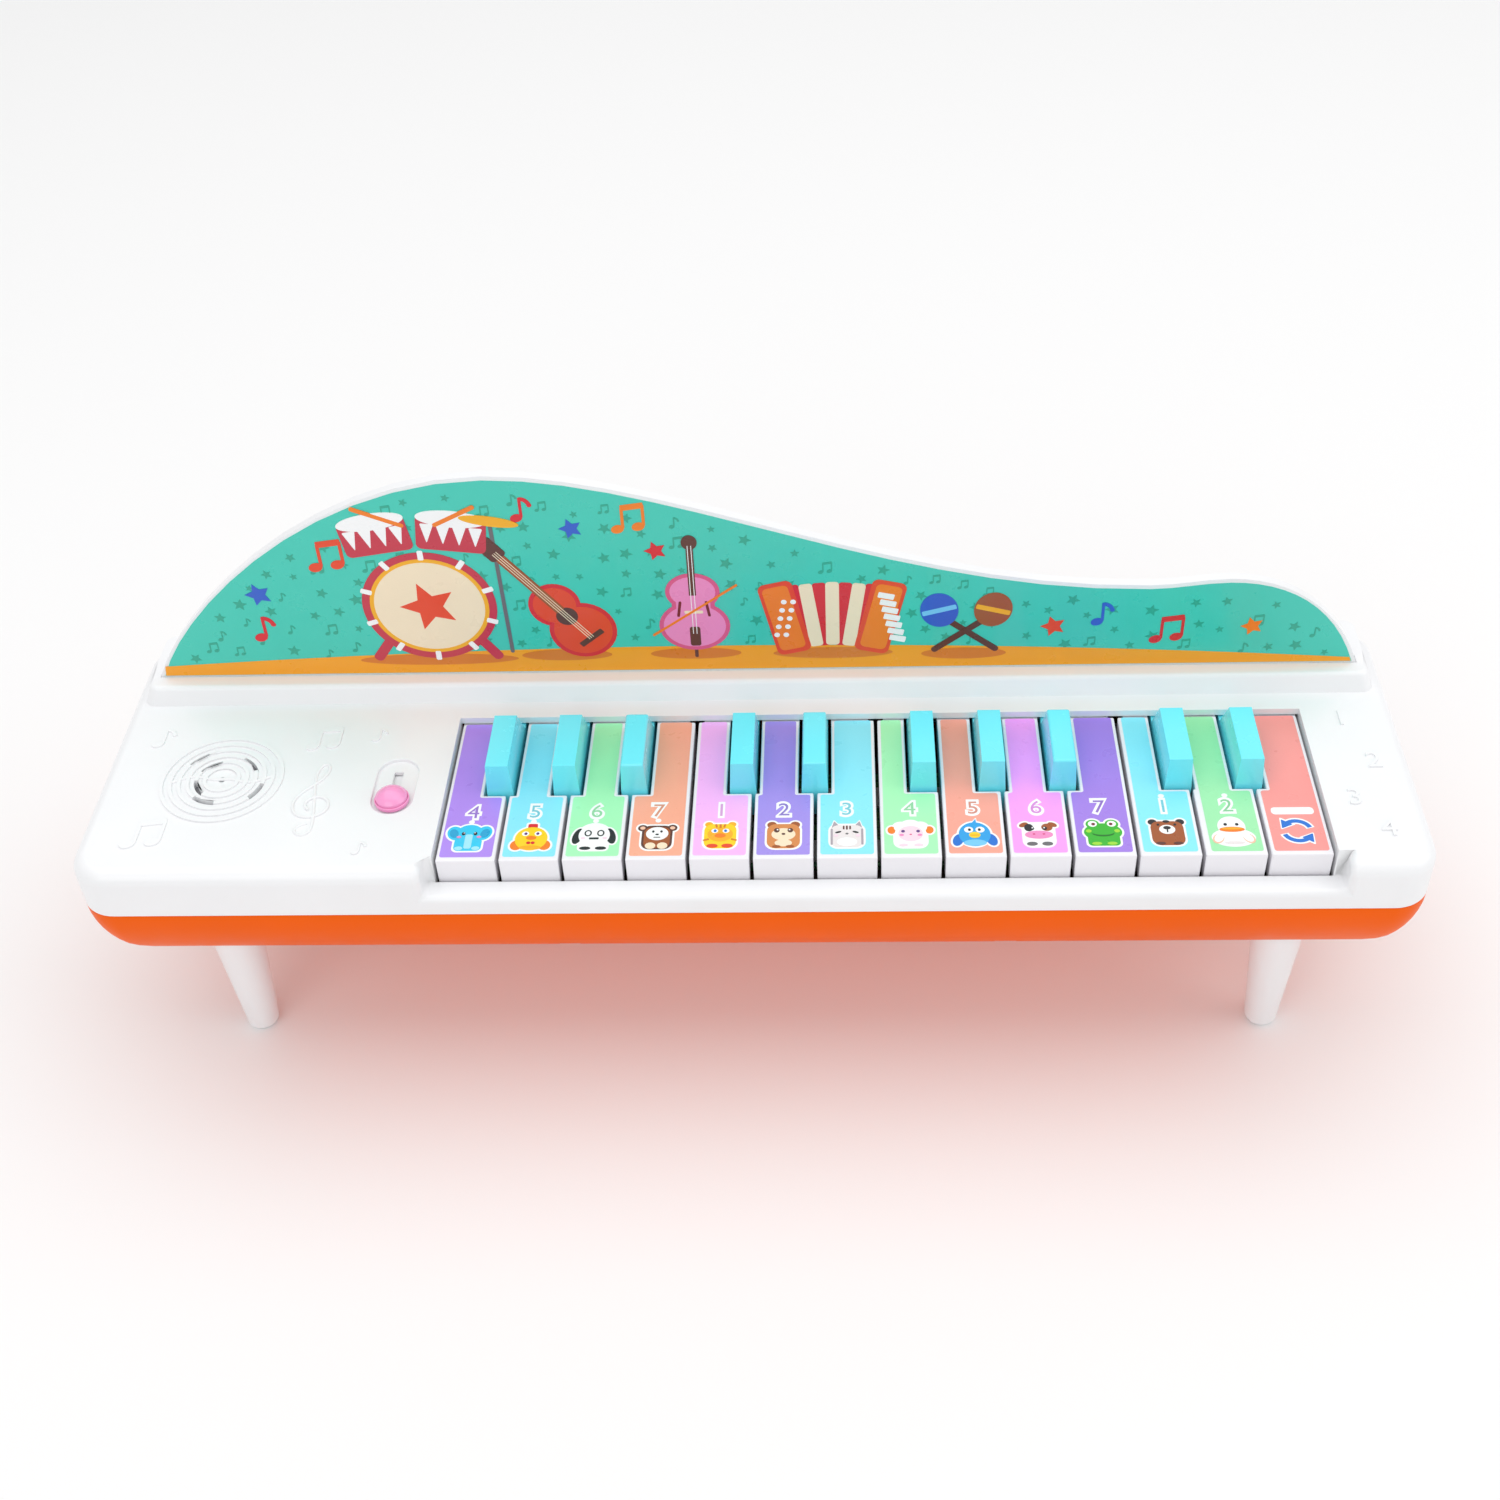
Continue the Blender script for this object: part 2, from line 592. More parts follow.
def makeKnob():
    low, high = cornersOf("switch_knob")
    middle = (low + high) / 2
    radius = (high.x - low.x) / 2
    rimTop = high.z - knobLook["dome"]
    base = rimTop - knobLook["rim"]
    e = knobLook["edge"]
    g = knobLook["groove"]
    ball = (radius * radius + knobLook["dome"] ** 2) / (2 * knobLook["dome"])
    domeZ = high.z - ball
    start = math.degrees(math.acos((radius - 0.45) / ball))
    profile = [(0, base)] + arcPoints((radius - e, base + e), e, -90, 0, 4)
    profile += arcPoints((radius - e, rimTop - e), e, 0, 90, 4) + [(radius - 0.45, rimTop - g)]
    profile += arcPoints((0, domeZ), ball, start, 90, 14)[:-1] + [(0, high.z)]
    bm = bmesh.new()
    spunProfile(bm, profile, middle, 64)
    stemSize = (1.6, 3.6, base - low.z + 0.2)
    stem = bmesh.ops.create_cube(bm, size=1)["verts"]
    bmesh.ops.scale(bm, verts=stem, vec=[s * mm for s in stemSize])
    bmesh.ops.translate(bm, verts=stem, vec=Vector((middle.x, middle.y, low.z + stemSize[2] / 2)) * mm)
    roundEdges(bm, (middle.x - 1, middle.y - 2, low.z), (middle.x + 1, middle.y + 2, base - 0.1), 0.25, 2)
    addPiece("knobCap", bm, "switch_knob", "knobPink", ["switch_knob"])


shutterLook = {"wide": 4.6, "thick": 0.6, "below": 0.35, "slot": 2.3, "past": 0.7, "travel": 9.5}


def makeShutter():
    # a thin slide under the deck that travels with the knob and closes its slot
    low, high = cornersOf("switch_knob")
    middle = (low + high) / 2
    half = shutterLook["slot"] + shutterLook["travel"] + shutterLook["past"]
    near, far = middle.y - half, middle.y + half
    z = roofZ - shutterLook["below"] - shutterLook["thick"] / 2
    bm = bmesh.new()
    plate = bmesh.ops.create_cube(bm, size=1)["verts"]
    bmesh.ops.scale(bm, verts=plate, vec=Vector((shutterLook["wide"], far - near, shutterLook["thick"])) * mm)
    bmesh.ops.translate(bm, verts=plate, vec=Vector((middle.x, (near + far) / 2, z)) * mm)
    bmesh.ops.bevel(bm, geom=bm.edges[:], offset=0.15 * mm, offset_type="OFFSET", segments=2, profile=0.5,
                    affect="EDGES", clamp_overlap=True, material=-1)
    addPiece("knobShutter", bm, "switch_knob", "caseWhite")


screwLook = {"arm": 0.42, "reach": 0.62, "depth": 0.7, "crown": 0.35}


def headFaces(bm, headZ):
    # the flat underside of a screw's head
    return [f for f in bm.faces if f.normal.z < -0.99 and f.calc_center_median().z < (headZ + 0.01) * mm]


def crossScrew(bm, centre, headZ, headRadius, headHeight, shankRadius, shankTop):
    # head down, with a cross recess in its underside
    spun = bmesh.new()
    crown = screwLook["crown"]
    profile = [(0, headZ)] + arcPoints((headRadius - crown, headZ + crown), crown, -90, 0, 4)
    profile += [(headRadius, headZ + headHeight), (shankRadius, headZ + headHeight)]
    profile += [(shankRadius, shankTop - 0.4), (shankRadius - 0.4, shankTop), (0, shankTop)]
    spunProfile(spun, profile, (0, 0, 0), 28)
    bmesh.ops.dissolve_faces(spun, faces=headFaces(spun, headZ))
    arm, reach = screwLook["arm"], screwLook["reach"] * headRadius
    for axis in ((1, 0, 0), (0, 1, 0)):
        for offset in (-reach, -arm, arm, reach):
            under = headFaces(spun, headZ)
            corners = list({v for f in under for v in f.verts})
            sides = list({e for f in under for e in f.edges})
            bmesh.ops.bisect_plane(spun, geom=corners + sides + under, dist=1e-7,
                                   plane_co=Vector(axis) * offset * mm, plane_no=axis)
    plus = []
    for f in headFaces(spun, headZ):
        x, y = (abs(v) / mm for v in f.calc_center_median().xy)
        if (x < arm and y < reach) or (y < arm and x < reach):
            plus.append(f)
    sunk = bmesh.ops.extrude_face_region(spun, geom=plus)["geom"]
    bmesh.ops.translate(spun, verts=[g for g in sunk if isinstance(g, bmesh.types.BMVert)],
                        vec=(0, 0, screwLook["depth"] * mm))
    bmesh.ops.delete(spun, geom=plus, context="FACES")  # the mouth of the recess
    bmesh.ops.recalc_face_normals(spun, faces=spun.faces)
    bmesh.ops.translate(spun, verts=spun.verts, vec=(centre[0] * mm, centre[1] * mm, 0))
    pourInto(bm, spun)


def islandBoxes(node):
    # box of each separate solid in a node, in mm
    bm = bmesh.new()
    bm.from_mesh(nodes[node].data)
    bmesh.ops.remove_doubles(bm, verts=bm.verts, dist=2e-6)
    boxes, seen = [], set()
    for vert in bm.verts:
        if vert in seen:
            continue
        group, todo = [], [vert]
        seen.add(vert)
        while todo:
            v = todo.pop()
            group.append(v.co / mm)
            for e in v.link_edges:
                other = e.other_vert(v)
                if other not in seen:
                    seen.add(other)
                    todo.append(other)
        boxes.append((Vector([min(p[k] for p in group) for k in range(3)]),
                      Vector([max(p[k] for p in group) for k in range(3)])))
    bm.free()
    return boxes


def makeScrews():
    for node, name, body, head, shank in (("case_screws", "caseScrews", "case", 1.8, 1.25),
                                          ("battery_door_screws", "doorScrews", "battery_door", 1.2, 1.05)):
        bm = bmesh.new()
        for low, high in islandBoxes(node):
            crossScrew(bm, ((low + high) / 2).xy, low.z, (high.x - low.x) / 2, head, shank, high.z)
        addPiece(name, bm, body, "platedSteel", [node])


# ---------- keys and their domes

keyLook = {
    "white": {"edge": 0.42, "segments": 3},
    "sharp": {"edge": 0.6, "segments": 4},
}


def makeKeys():
    for node in whiteNames:
        low, high = cornersOf(node)
        bm = cadCopy(node)
        roundEdges(bm, (low.x, low.y, keyTop - 0.05), (high.x, well["back"], keyTop + 0.05),
                   keyLook["white"]["edge"], keyLook["white"]["segments"], touch=True)
        bmesh.ops.dissolve_degenerate(bm, edges=bm.edges, dist=2e-6)
        addPiece(node.replace("white_key", "whiteKey"), bm, node, "keyWhite", [node])
    for node in sharpNames:
        low, high = cornersOf(node)
        bm = cadCopy(node)
        roundEdges(bm, (low.x, low.y, keyTop - 0.7), (high.x, well["back"] - 1.5, high.z),
                   keyLook["sharp"]["edge"], keyLook["sharp"]["segments"], touch=True)
        addPiece(node.replace("sharp_key", "sharpKey"), bm, node, "sharpBlue", [node])


domeLook = {"foot": 3.2, "head": 2.2, "base": 0.8, "keepWhite": 0.42, "keepSharp": 0.46}


def makeDomes():
    for strip, keys, keep in (("white_dome_strip", whiteNames, domeLook["keepWhite"]),
                              ("sharp_dome_strip", sharpNames, domeLook["keepSharp"])):
        low, high = cornersOf(strip)
        baseTop = low.z + domeLook["base"]
        bm = bmesh.new()
        verts = bmesh.ops.create_cube(bm, size=1)["verts"]
        bmesh.ops.scale(bm, verts=verts,
                        vec=((high.x - low.x) * mm, (high.y - low.y) * mm, domeLook["base"] * mm))
        bmesh.ops.translate(bm, verts=verts, vec=((low.x + high.x) / 2 * mm, (low.y + high.y) / 2 * mm,
                                                  (low.z + baseTop) / 2 * mm))
        roundEdges(bm, (low.x, low.y, baseTop), (high.x, high.y, baseTop), 0.3, 2)
        name = strip.replace("_dome_strip", "DomeSheet")
        addPiece(name, bm, "case", "siliconeRubber", [strip])
        for key in keys:
            keyLow, keyHigh = cornersOf(key)
            x = (keyLow.x + keyHigh.x) / 2
            y = (low.y + high.y) / 2
            foot, head = domeLook["foot"], domeLook["head"]
            profile = [(0, baseTop), (foot, baseTop), (foot - 0.1, baseTop + 0.5), (head + 0.1, high.z - 1.4)]
            profile += arcPoints((head - 0.4, high.z - 0.4), 0.4, 0, 90, 3) + [(0, high.z)]
            cup = bmesh.new()
            spunProfile(cup, profile, (x, y, 0), 28)
            piece = addPiece("dome_" + key, cup, "case", "siliconeRubber", [strip])
            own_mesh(piece)


makeCaseTop()
makeCaseTray()
makeDoor()
makeBoard()
print("case made")
makeLegs()
makeKnob()
makeShutter()
makeScrews()
makeKeys()
makeDomes()
print("legs, knob, screws, keys and domes made")

# ---------- flat drawing: thin films of ink laid on each other

inks = {
    "white": tint(255, 255, 255), "black": tint(30, 28, 32),
    "sky": tint(45, 205, 245), "aqua": tint(20, 165, 215),
    "paleSky": tint(165, 235, 250), "yellow": tint(255, 215, 20), "gold": tint(252, 180, 20),
    "orange": tint(250, 130, 20), "vermilion": tint(238, 70, 30), "red": tint(225, 28, 45),
    "brown": tint(165, 85, 35), "bark": tint(95, 50, 40),
    "tan": tint(222, 140, 75), "cream": tint(252, 232, 200),
    "grey": tint(175, 165, 175), "pearl": tint(240, 232, 232), "smoke": tint(110, 108, 112),
    "blush": tint(252, 222, 236), "pink": tint(245, 145, 200), "rose": tint(226, 90, 140),
    "violet": tint(95, 50, 130), "blue": tint(35, 165, 235), "cobalt": tint(20, 115, 215),
    "azure": tint(120, 205, 250), "green": tint(55, 185, 45),
    "forest": tint(25, 115, 30), "lime": tint(165, 225, 60),
    "maroon": tint(120, 20, 30), "peach": tint(252, 200, 170), "teal": tint(66, 208, 188),
    "deepTeal": tint(44, 172, 146), "amber": tint(255, 168, 22), "burnt": tint(225, 125, 25),
    "crimson": tint(205, 50, 72), "marine": tint(45, 95, 205),
}
film = {"base": 0.05, "step": 0.014, "lift": 0.0019, "count": 0}  # mm


def newSheet():
    bm = bmesh.new()
    bm.loops.layers.float_color.new("printColour")
    return bm


def layOn(sheet, shape, colour, level):
    # the flat faces in shape become a film that stands a little above what is under it,
    # and the lift keeps two neighbours on one level from sharing a face
    film["count"] += 1
    height = film["base"] + film["step"] * level + film["lift"] * (film["count"] % 7)
    shape.normal_update()
    bmesh.ops.reverse_faces(shape, faces=[f for f in shape.faces if f.normal.z < 0])
    grown = bmesh.ops.extrude_face_region(shape, geom=shape.faces[:])["geom"]
    bmesh.ops.translate(shape, verts=[g for g in grown if isinstance(g, bmesh.types.BMVert)],
                        vec=(0, 0, height * mm))
    layer = shape.loops.layers.float_color.new("printColour")
    for face in shape.faces:
        for loop in face.loops:
            loop[layer] = colour
    pourInto(sheet, shape)


def placed(bm, x, y, turn=0.0):
    bmesh.ops.rotate(bm, verts=bm.verts, cent=(0, 0, 0), matrix=Matrix.Rotation(math.radians(turn), 3, "Z"))
    bmesh.ops.translate(bm, verts=bm.verts, vec=(x * mm, y * mm, 0))
    return bm


def disc(x, y, halfW, halfH, turn=0.0, steps=32):
    bm = bmesh.new()
    bmesh.ops.create_circle(bm, cap_ends=True, segments=steps, radius=mm)
    bmesh.ops.scale(bm, verts=bm.verts, vec=(halfW, halfH, 1))
    return placed(bm, x, y, turn)


def outline(points, corner=0.0, steps=3):
    bm = bmesh.new()
    bm.faces.new([bm.verts.new((px * mm, py * mm, 0)) for px, py in points])
    if corner:
        bmesh.ops.bevel(bm, geom=bm.verts[:], offset=corner * mm, offset_type="OFFSET", segments=steps,
                        profile=0.5, affect="VERTICES", clamp_overlap=True, material=-1)
        bmesh.ops.remove_doubles(bm, verts=bm.verts, dist=2e-6)  # two corners can meet at one point
    return bm


def card(x, y, halfW, halfH, turn=0.0, share=0.55):
    w, h = halfW, halfH
    return placed(outline([(-w, -h), (w, -h), (w, h), (-w, h)], min(w, h) * share, 5), x, y, turn)


def peak(x, y, halfW, halfH, turn=0.0):
    w, h = halfW, halfH
    return placed(outline([(-w, -h), (w, -h), (0, h)], min(w, h) * 0.25, 3), x, y, turn)


def bar(x0, y0, x1, y1, width, share=0.9):
    middle, reach = ((x0 + x1) / 2, (y0 + y1) / 2), math.hypot(x1 - x0, y1 - y0) / 2
    return card(*middle, reach, width / 2, math.degrees(math.atan2(y1 - y0, x1 - x0)), share)


def star(x, y, radius, turn=0.0, waist=0.45):
    bm = bmesh.new()
    bmesh.ops.create_circle(bm, cap_ends=True, segments=10, radius=radius * mm)
    for k, vert in enumerate(bm.verts):
        if k % 2:
            vert.co *= waist
    return placed(bm, x, y, turn)


def arcBand(x, y, inner, outer, start, sweep, steps=18):
    bm = bmesh.new()
    ends = [bm.verts.new((r * mm, 0, 0)) for r in (inner, outer)]
    edge = bm.edges.new(ends)
    bmesh.ops.spin(bm, geom=ends + [edge], cent=(0, 0, 0), axis=(0, 0, 1), angle=math.radians(sweep),
                   steps=steps, use_duplicate=False)
    return placed(bm, x, y, start)


def digit(text, x, y, height, fatten):
    # a plain number from the built-in font
    curve = bpy.data.curves.new("digit", "FONT")
    curve.body = text
    curve.size = height / 0.73 * mm
    curve.offset = fatten * mm
    curve.resolution_u = 5
    curve.align_x = "CENTER"
    holder = bpy.data.objects.new("digit", curve)
    bpy.context.scene.collection.objects.link(holder)
    bpy.context.view_layer.update()
    mesh = bpy.data.meshes.new_from_object(holder.evaluated_get(bpy.context.evaluated_depsgraph_get()))
    bpy.data.objects.remove(holder)
    bpy.data.curves.remove(curve)
    bm = bmesh.new()
    bm.from_mesh(mesh)
    bpy.data.meshes.remove(mesh)
    bmesh.ops.remove_doubles(bm, verts=bm.verts, dist=1e-6)
    low = Vector([min(v.co[k] for v in bm.verts) for k in range(3)])
    high = Vector([max(v.co[k] for v in bm.verts) for k in range(3)])
    bmesh.ops.translate(bm, verts=bm.verts, vec=Vector((x, y, 0)) * mm - (low + high) / 2)
    return bm


def noteShapes(x, y, size, paired):
    # head, stem and flag, or two notes under one beam
    s = size / 10
    shapes = [disc(x - 3.2 * s, y - 3.4 * s, 1.9 * s, 1.4 * s, 18),
              bar(x - 1.6 * s, y - 3.2 * s, x - 1.6 * s, y + 4 * s, 0.9 * s)]
    if paired:
        shapes += [disc(x + 2.8 * s, y - 2.6 * s, 1.9 * s, 1.4 * s, 18),
                   bar(x + 4.4 * s, y - 2.4 * s, x + 4.4 * s, y + 4.9 * s, 0.9 * s),
                   bar(x - 1.9 * s, y + 3.8 * s, x + 4.7 * s, y + 4.7 * s, 1.9 * s, 0.3)]
    else:
        shapes += [arcBand(x - 1.6 * s, y + 0.6 * s, 2.2 * s, 3.5 * s, 12, 74, 8),
                   disc(x + 1.2 * s, y + 1.2 * s, 0.75 * s, 0.7 * s)]
    return shapes


drawers = {"disc": disc, "card": card, "peak": peak}


def drawRows(sheet, rows, x, y, level, grow=0.0, ink=None):
    # rows are (shape, x, y, half width, half height, turn, ink); a plural shape is drawn on both sides
    for k, (shape, dx, dy, halfW, halfH, turn, name) in enumerate(rows):
        for side in (1, -1) if shape.endswith("s") else (1,):
            made = drawers[shape.rstrip("s")](x + side * dx, y + dy, halfW + grow, halfH + grow, side * turn)
            layOn(sheet, made, inks[ink or name], level if ink else level + k)


# ---------- stickers on the white keys

# each head: outer forms, which get a white rim, then the face from the back to the front
heads = {
    "elephant": (
        [("discs", 3.9, 1.7, 2.1, 2.7, -18, "sky"), ("card", 0, -2.6, 3.7, 2.4, 0, "sky"),
         ("disc", 0, 1.2, 3.8, 3.7, 0, "sky")],
        [("discs", 4.2, 1.6, 1.2, 1.7, -18, "aqua"), ("card", 0, -1.5, 1.0, 2.7, 0, "paleSky"),
         ("discs", 1.6, 1.5, 0.5, 0.62, 0, "black"), ("discs", 1.45, 1.75, 0.18, 0.18, 0, "white"),
         ("discs", 2.3, -4.1, 1.1, 0.7, 0, "paleSky"), ("discs", 2.7, 0.2, 0.6, 0.4, 0, "pink")]),
    "chick": (
        [("card", 0, 4.2, 1.3, 0.9, 0, "red"), ("discs", 3.7, -3.0, 1.7, 1.9, 20, "orange"),
         ("disc", 0, -0.6, 4.4, 4.4, 0, "yellow")],
        [("discs", 1.7, 1.3, 0.95, 0.85, 0, "white"), ("discs", 1.6, 1.3, 0.42, 0.5, 0, "violet"),
         ("disc", 0, -0.3, 1.4, 0.75, 0, "orange"), ("disc", 0, -4.0, 3.0, 0.8, 0, "gold"),
         ("discs", 0.6, -2.2, 0.55, 0.5, 0, "red")]),
    "dog": (
        [("discs", 4.4, 0.2, 1.35, 3.0, 14, "black"), ("card", 0, -3.0, 3.7, 2.0, 0, "white"),
         ("disc", 0, 0.5, 4.2, 4.2, 0, "white")],
        [("discs", 1.7, 1.3, 1.0, 1.2, 0, "black"), ("discs", 1.7, 1.3, 0.6, 0.78, 0, "white"),
         ("card", 0, -0.7, 1.3, 0.36, 0, "black"), ("discs", 2.1, -4.4, 1.5, 0.6, 0, "black"),
         ("discs", 2.9, -0.6, 0.6, 0.4, 0, "blush")]),
    "monkey": (
        [("discs", 4.0, 3.1, 1.3, 1.2, 0, "bark"), ("card", 0, -0.5, 4.1, 4.5, 0, "bark")],
        [("discs", 4.0, 3.1, 0.7, 0.6, 0, "peach"), ("card", 0, -0.6, 3.5, 3.9, 0, "brown"),
         ("disc", 0, 0.9, 3.0, 2.5, 0, "white"), ("discs", 1.1, 1.7, 0.34, 0.44, 0, "black"),
         ("disc", 0, 0.6, 0.5, 0.3, 0, "black"), ("card", 0, -0.5, 0.9, 0.14, 0, "black"),
         ("discs", 1.6, -3.7, 1.4, 1.2, 0, "cream")]),
    "tiger": (
        [("discs", 3.1, 4.2, 1.1, 1.0, 0, "gold"), ("card", 0, -0.2, 4.3, 4.6, 0, "yellow")],
        [("disc", 0, 0.5, 3.4, 2.7, 0, "gold"), ("discs", 1.5, 1.8, 0.9, 0.8, 0, "white"),
         ("discs", 1.4, 1.8, 0.4, 0.5, 0, "cobalt"), ("disc", 0, 0.0, 1.5, 0.8, 0, "orange"),
         ("card", 0, 3.6, 0.3, 0.7, 0, "burnt"), ("cards", 1.1, 3.7, 0.26, 0.6, -12, "burnt"),
         ("cards", 3.7, -1.6, 0.26, 0.8, 70, "burnt"), ("discs", 2.0, -3.9, 1.5, 0.7, 0, "vermilion")]),
    "hamster": (
        [("discs", 3.1, 3.9, 1.3, 1.2, 0, "brown"), ("card", 0, -0.4, 4.4, 4.6, 0, "tan")],
        [("disc", 0, 0.3, 3.2, 2.3, 0, "cream"), ("discs", 1.8, 1.8, 0.75, 0.85, 0, "bark"),
         ("discs", 1.6, 2.0, 0.24, 0.26, 0, "white"), ("disc", 0, 0.4, 0.5, 0.36, 0, "bark"),
         ("disc", 0, -3.0, 2.3, 1.3, 0, "cream"), ("discs", 1.8, -4.3, 1.1, 0.45, 0, "brown")]),
    "cat": (
        [("peaks", 3.1, 3.6, 1.5, 1.6, -10, "grey"), ("card", 0, -0.6, 4.4, 4.2, 0, "pearl")],
        [("cards", 4.05, -0.8, 0.3, 3.0, 0, "grey"), ("card", 0, 2.6, 0.24, 0.75, 0, "bark"),
         ("cards", 0.85, 2.6, 0.22, 0.65, 0, "bark"), ("discs", 2.3, 0.9, 0.85, 0.32, -18, "black"),
         ("disc", 0, 0.3, 0.4, 0.28, 0, "smoke"), ("disc", 0, -2.8, 2.7, 1.6, 0, "white"),
         ("discs", 2.9, -0.4, 0.6, 0.4, 0, "blush")]),
    "sheep": (
        [("discs", 5.0, 1.5, 1.1, 1.4, 0, "orange"), ("disc", 0, 3.3, 2.2, 1.6, 0, "white"),
         ("discs", 2.6, 2.5, 1.8, 1.7, 0, "white"), ("card", 0, -1.0, 4.1, 3.9, 0, "white")],
        [("disc", 0, 0.1, 3.3, 2.9, 0, "blush"), ("discs", 2.0, 1.0, 0.5, 0.5, 0, "violet"),
         ("disc", 0, -0.2, 0.34, 0.24, 0, "rose"), ("discs", 2.4, -0.4, 0.6, 0.4, 0, "pink"),
         ("discs", 2.0, -4.2, 1.2, 0.5, 0, "blush")]),
    "bird": (
        [("peak", 0.2, 4.5, 0.8, 1.1, -15, "blue"), ("discs", 4.4, -2.4, 1.4, 2.3, 18, "cobalt"),
         ("disc", 0, -0.3, 4.2, 4.5, 0, "blue")],
        [("discs", 1.5, 1.4, 1.2, 1.1, 0, "white"), ("discs", 1.3, 1.4, 0.4, 0.5, 0, "black"),
         ("disc", 0, -3.5, 3.0, 1.2, 0, "azure"), ("disc", 0, -0.6, 1.5, 1.15, 0, "yellow"),
         ("card", 0, -0.7, 1.2, 0.12, 0, "orange")]),
    "cow": (
        [("discs", 3.8, 3.1, 1.3, 0.8, -28, "brown"), ("card", 0, -0.7, 3.9, 4.3, 0, "white")],
        [("disc", 2.3, 2.1, 1.5, 1.4, 0, "brown"), ("disc", -2.5, 2.0, 1.2, 1.4, 0, "black"),
         ("discs", 1.7, 1.7, 0.62, 0.66, 0, "black"), ("discs", 1.55, 1.9, 0.22, 0.24, 0, "white"),
         ("disc", 0, -0.7, 3.7, 1.5, 0, "pink"), ("discs", 1.3, -0.5, 0.36, 0.3, 0, "rose"),
         ("discs", 2.0, -4.1, 1.4, 0.7, 0, "smoke")]),
    "frog": (
        [("discs", 2.5, 3.1, 1.8, 1.7, 0, "green"), ("card", 0, -2.8, 4.2, 2.2, 0, "green"),
         ("disc", 0, 0.1, 5.0, 3.3, 0, "green")],
        [("discs", 2.5, 3.2, 1.2, 1.1, 0, "white"), ("discs", 2.3, 3.1, 0.5, 0.5, 0, "maroon"),
         ("discs", 3.7, 0.5, 0.75, 0.6, 0, "lime"), ("disc", 0, -0.4, 2.9, 1.1, 0, "forest"),
         ("disc", 0, 0.1, 3.1, 1.1, 0, "green"), ("discs", 2.0, -4.2, 1.3, 0.55, 0, "lime")]),
    "bear": (
        [("discs", 3.6, 3.7, 1.2, 1.1, 0, "black"), ("card", 0, -0.5, 4.3, 4.5, 0, "brown")],
        [("disc", 0, 3.9, 0.9, 0.5, 0, "black"), ("disc", 0, 0.9, 2.1, 1.7, 0, "white"),
         ("disc", 0, 1.5, 1.0, 0.65, 0, "black"), ("card", 0, 0.5, 0.18, 0.7, 0, "black"),
         ("discs", 2.2, 2.7, 0.36, 0.38, 0, "black"), ("discs", 2.3, -4.3, 1.3, 0.5, 0, "bark")]),
    "duck": (
        [("disc", 0, 1.8, 3.1, 3.3, 0, "white"), ("disc", 0, -2.3, 5.2, 2.9, 0, "white")],
        [("discs", 4.0, -2.7, 1.4, 1.9, 30, "peach"), ("discs", 3.8, -2.4, 1.1, 1.7, 30, "white"),
         ("discs", 1.5, 2.6, 0.46, 0.48, 0, "black"), ("disc", 0, 0.7, 3.3, 0.95, 0, "orange"),
         ("disc", 0, 1.0, 2.7, 0.36, 0, "gold"), ("disc", 0, -4.3, 2.6, 0.5, 0, "pearl")]),
}
stickers = [
    {"paper": (165, 130, 225), "label": "4", "dot": -1, "head": "elephant"},
    {"paper": (130, 218, 255), "label": "5", "dot": -1, "head": "chick"},
    {"paper": (158, 232, 176), "label": "6", "dot": -1, "head": "dog"},
    {"paper": (255, 162, 135), "label": "7", "dot": -1, "head": "monkey"},
    {"paper": (255, 174, 244), "label": "1", "dot": 0, "head": "tiger"},
    {"paper": (155, 135, 220), "label": "2", "dot": 0, "head": "hamster"},
    {"paper": (132, 220, 255), "label": "3", "dot": 0, "head": "cat"},
    {"paper": (160, 232, 176), "label": "4", "dot": 0, "head": "sheep"},
    {"paper": (255, 156, 138), "label": "5", "dot": 0, "head": "bird"},
    {"paper": (248, 152, 238), "label": "6", "dot": 0, "head": "cow"},
    {"paper": (155, 120, 215), "label": "7", "dot": 0, "head": "frog"},
    {"paper": (130, 220, 255), "label": "1", "dot": 1, "head": "bear"},
    {"paper": (152, 222, 166), "label": "2", "dot": 1, "head": "duck"},
    {"paper": (250, 145, 140), "label": "", "dot": 0, "head": ""},
]
stickerLook = {"side": 0.9, "front": -41.4, "back": 12.0, "corner": 0.7, "headY": -34.1, "labelY": -24.2,
               "labelHigh": 5.6, "labelRim": 0.56, "rim": 0.55, "leastStep": 0.9}


def keyOutline(node):
    # the sticker keeps inside the key's top, which narrows beside the sharp keys
    low, high = cornersOf(node)
    behind = [v.co.x / mm for v in nodes[node].data.vertices
              if v.co.z > (keyTop - 0.05) * mm and v.co.y > (sharpLow.y + 5) * mm]
    side, front, back = (stickerLook[k] for k in ("side", "front", "back"))
    step = sharpLow.y - 0.9 - side
    wide = (low.x + side, high.x - side)
    slim = (min(behind) + side, max(behind) - side)
    least = stickerLook["leastStep"]  # a smaller step has no room for its rounded corners
    wide = tuple(s if abs(w - s) < least else w for w, s in zip(wide, slim))
    points = [(wide[0], front), (wide[1], front)]
    if slim[1] < wide[1] - 0.1:
        points += [(wide[1], step), (slim[1], step)]
    points += [(slim[1], back), (slim[0], back)]
    if slim[0] > wide[0] + 0.1:
        points += [(slim[0], step), (wide[0], step)]
    return points


